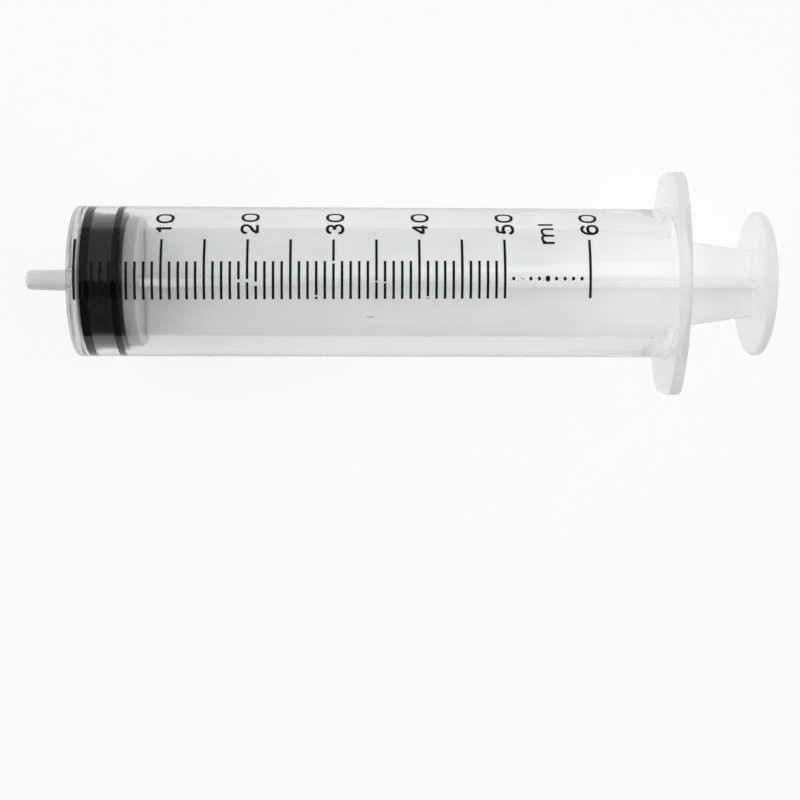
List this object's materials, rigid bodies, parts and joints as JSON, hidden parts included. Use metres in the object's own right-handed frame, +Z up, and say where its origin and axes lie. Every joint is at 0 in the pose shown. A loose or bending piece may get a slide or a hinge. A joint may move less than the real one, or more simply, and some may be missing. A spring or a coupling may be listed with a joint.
{
  "type": "slip tip syringe",
  "caption": "Disposable large-volume syringe with graduated translucent barrel, finger flange, off-centre slip tip, black rubber stopper and finned plunger rod with thumb disc.",
  "frame": {"origin": "under the middle of the whole syringe, on the ground that the flange lies on", "axes": "+X along the barrel from the tip to the thumb disc, +Z up on the side of the scale, the flange's wings along Y"},
  "size_m": [0.15, 0.0448, 0.0318],
  "materials": {
    "barrel": "smooth translucent natural polypropylene",
    "rubber": "satin black rubber, lubricated",
    "rod": "satin translucent natural polypropylene"
  },
  "bodies": {
    "barrel": {"barrel": "barrel"},
    "stopper": {"stopper": "rubber"},
    "plunger": {"plunger_rod": "rod"}
  },
  "joints": [
    {"name": "plunger_slide", "type": "slide", "parent": "barrel", "child": "stopper", "axis": [1, 0, 0], "range_m": [0, 0.0988]},
    {"name": "rod_spin", "type": "hinge", "parent": "stopper", "child": "plunger", "pos_m": [-0.05713, 0, 0.0159], "axis": [1, 0, 0], "continuous": true}
  ]
}
